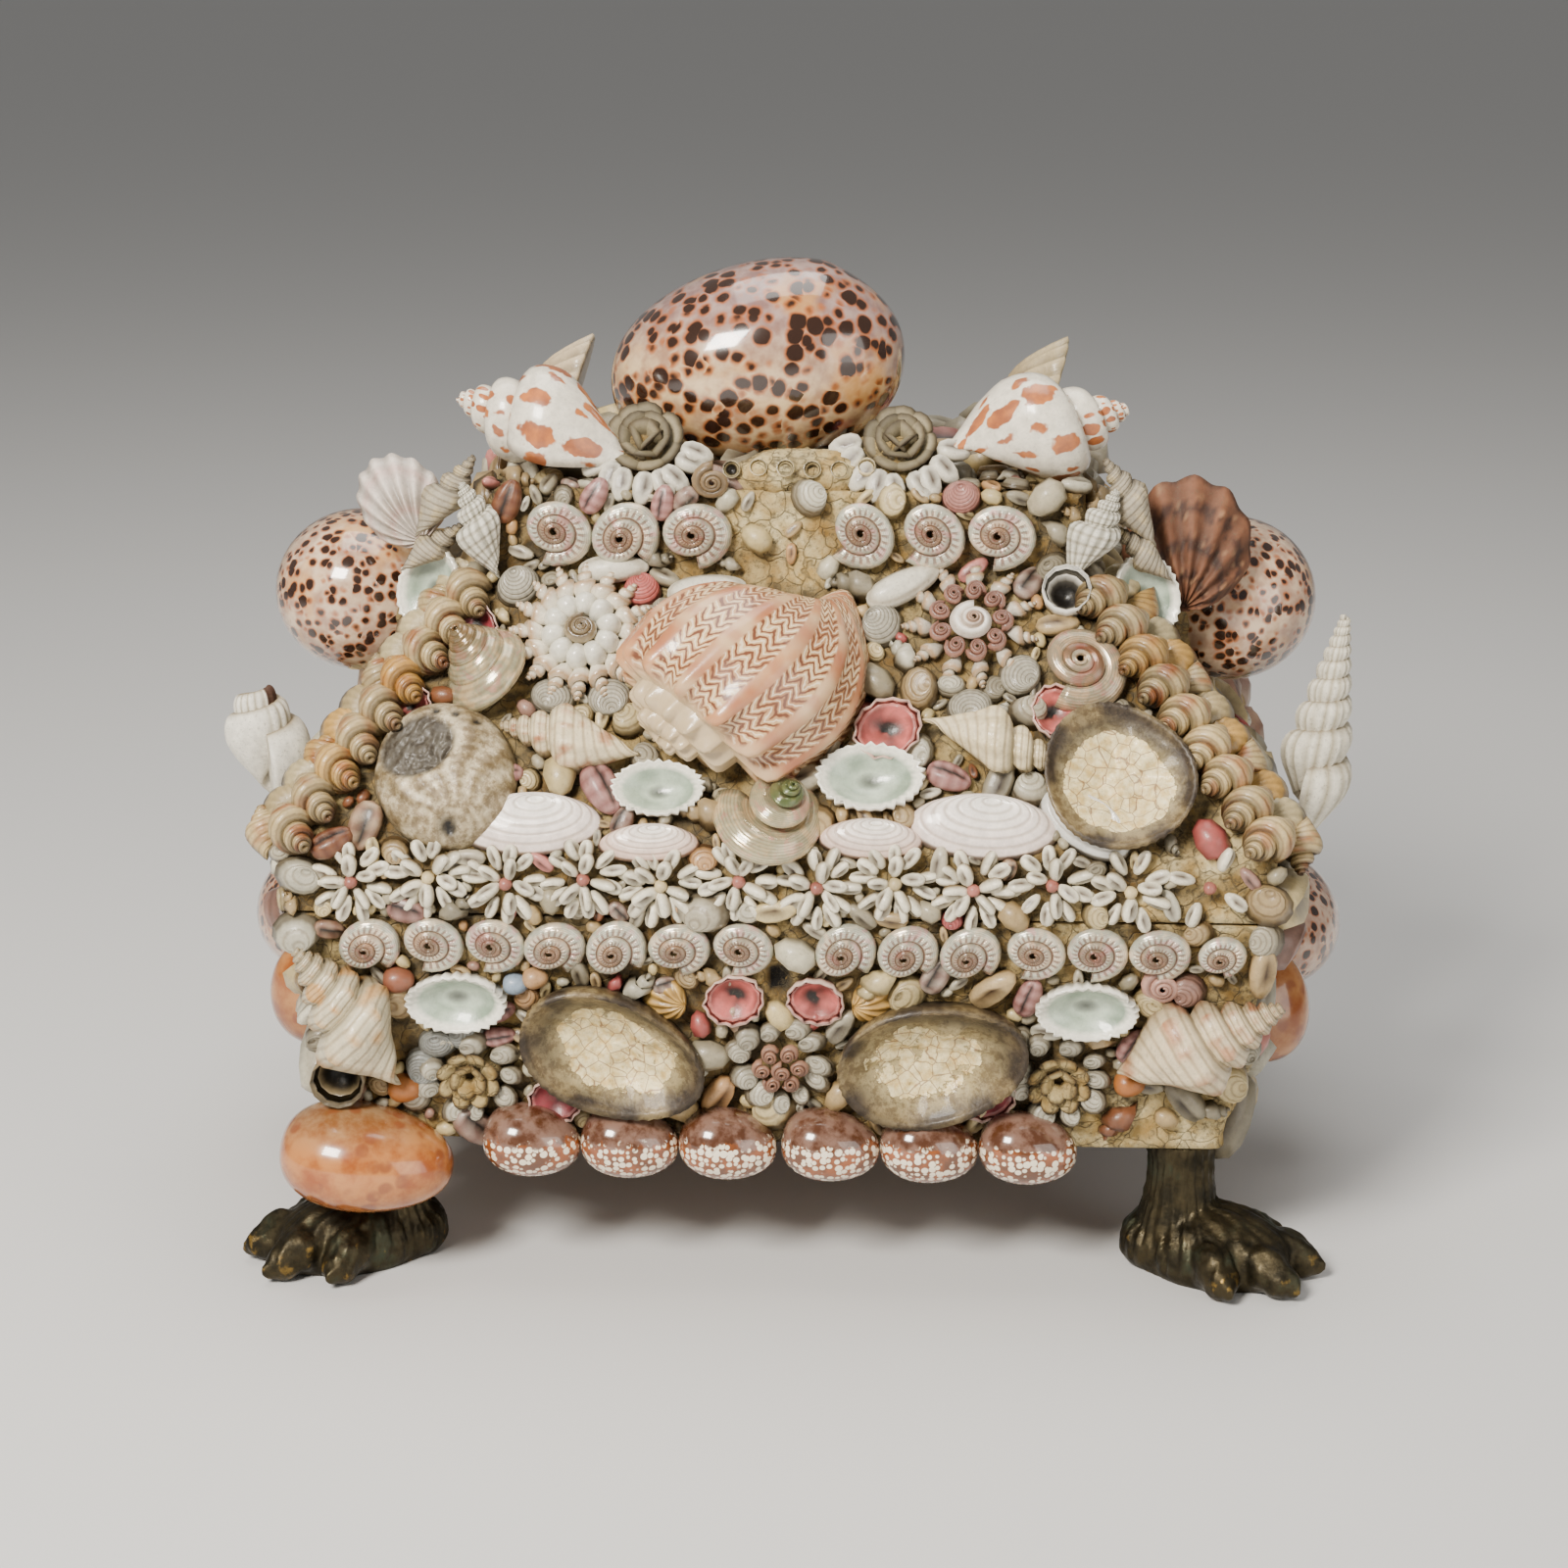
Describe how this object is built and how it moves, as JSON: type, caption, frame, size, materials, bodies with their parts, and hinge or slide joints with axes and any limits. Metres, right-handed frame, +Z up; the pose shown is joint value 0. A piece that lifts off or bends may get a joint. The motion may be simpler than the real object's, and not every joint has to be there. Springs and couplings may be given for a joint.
{
  "type": "shell box",
  "caption": "Footed casket with a lift-off mansard lid, coated with putty and covered with sea shells, on cast lion's paws.",
  "frame": {"origin": "on the floor under the middle of the box, at the bottom centre of the whole object's box", "axes": "+Z up, -Y out of the front with the keyhole, +X to the right for someone facing the front"},
  "size_m": [0.4186, 0.294, 0.3448],
  "materials": {
    "wood": "bare pine, aged and dull",
    "putty": "cream putty, crackled, lumpy and dirty",
    "bronze": "dark patinated cast metal, worn bright on the edges",
    "spotted_cowrie": "glossy shell with dark brown spots",
    "orange_cowrie": "glossy orange tan shell with faint spots",
    "netted_cowrie": "glossy brown shell with a pale net",
    "harp_shell": "satin pink and tan ribs with zigzag bands",
    "cream_shell": "ridged cream shell with tan marks",
    "white_shell": "ribbed white shell, a little grey in the grooves",
    "patched_whelk": "white shell with orange brown patches",
    "brown_scallop": "rough ribbed brown shell",
    "pearl": "polished mother of pearl",
    "green_limpet": "pale green inside, white jagged rim",
    "abalone": "worn pearl, brown and grey, flaking",
    "hip_conch": "cream and yellow shell with brown flecks",
    "flower_shell": "grey white slit shells"
  },
  "bodies": {
    "root": {"carcass": "wood", "lid": "wood", "box_putty": "putty", "lid_putty": "putty", "paw_front_left": "bronze", "paw_front_right": "bronze", "paw_back_left": "bronze", "paw_back_right": "bronze", "top_cowrie": "spotted_cowrie", "upper_cowrie_left": "spotted_cowrie", "upper_cowrie_right": "spotted_cowrie", "lower_cowrie_left": "spotted_cowrie", "lower_cowrie_right": "spotted_cowrie", "back_cowrie_left": "spotted_cowrie", "back_cowrie_right": "spotted_cowrie", "corner_cowrie": "orange_cowrie", "small_cowrie_left": "orange_cowrie", "small_cowrie_right": "orange_cowrie", "bottom_cowrie_1": "netted_cowrie", "bottom_cowrie_2": "netted_cowrie", "bottom_cowrie_3": "netted_cowrie", "bottom_cowrie_4": "netted_cowrie", "bottom_cowrie_5": "netted_cowrie", "bottom_cowrie_6": "netted_cowrie", "harp": "harp_shell", "conch_left": "cream_shell", "conch_right": "cream_shell", "triton_left": "cream_shell", "triton_right": "cream_shell", "back_cockle_left": "cream_shell", "back_cockle_right": "cream_shell", "ribbed_whelk_left": "white_shell", "ribbed_whelk_right": "white_shell", "horn_left": "white_shell", "horn_right": "white_shell", "white_scallop": "white_shell", "babylonia_left": "patched_whelk", "babylonia_right": "patched_whelk", "brown_scallop": "brown_scallop", "turban_left": "pearl", "turban_right": "pearl", "turban_centre": "pearl", "lower_pearls_left": "pearl", "lower_pearls_right": "pearl", "upper_pearls_left": "pearl", "upper_pearls_right": "pearl", "limpet_lid_left": "green_limpet", "limpet_lid_right": "green_limpet", "limpet_box_left": "green_limpet", "limpet_box_right": "green_limpet", "abalone_top_left": "abalone", "abalone_top_right": "abalone", "abalone_box_left": "abalone", "abalone_box_right": "abalone", "hip_shells_front_left": "hip_conch", "hip_shells_front_right": "hip_conch", "hip_shells_back_left": "hip_conch", "hip_shells_back_right": "hip_conch", "flower_frieze": "flower_shell"}
  },
  "joints": []
}
